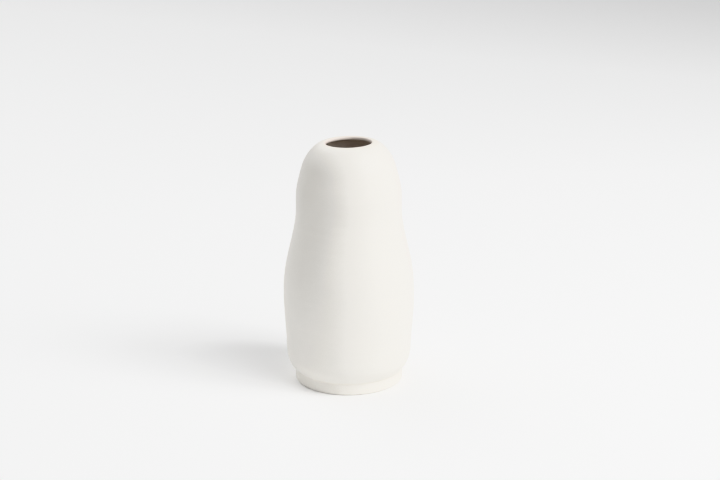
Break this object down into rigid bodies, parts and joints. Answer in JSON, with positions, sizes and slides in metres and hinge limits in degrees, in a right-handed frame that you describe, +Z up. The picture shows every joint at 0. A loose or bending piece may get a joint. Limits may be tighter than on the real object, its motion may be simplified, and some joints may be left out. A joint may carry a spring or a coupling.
{
  "type": "bud vase",
  "caption": "Round ceramic bud vase with a soft two-lobed silhouette, small rolled mouth, matt white glaze and a bare clay standing ring.",
  "frame": {"origin": "centre of the surface the vase stands on, on the axis it was turned about", "axes": "+Z up the axis towards the mouth; +X to the right and +Y to the back of the front view, though the round vase looks the same from every side"},
  "size_m": [0.0748, 0.0748, 0.14],
  "materials": {
    "bare_clay": "unglazed fired clay, sanded smooth",
    "matt_glaze": "smooth matt glaze",
    "liner_glaze": "clear satin glaze"
  },
  "bodies": {
    "root": {"foot_ring": "bare_clay", "base_slab": "bare_clay", "lower_wall": "bare_clay", "upper_wall": "bare_clay", "lip": "bare_clay", "outer_glaze": "matt_glaze", "liner_glaze": "liner_glaze"}
  },
  "joints": []
}
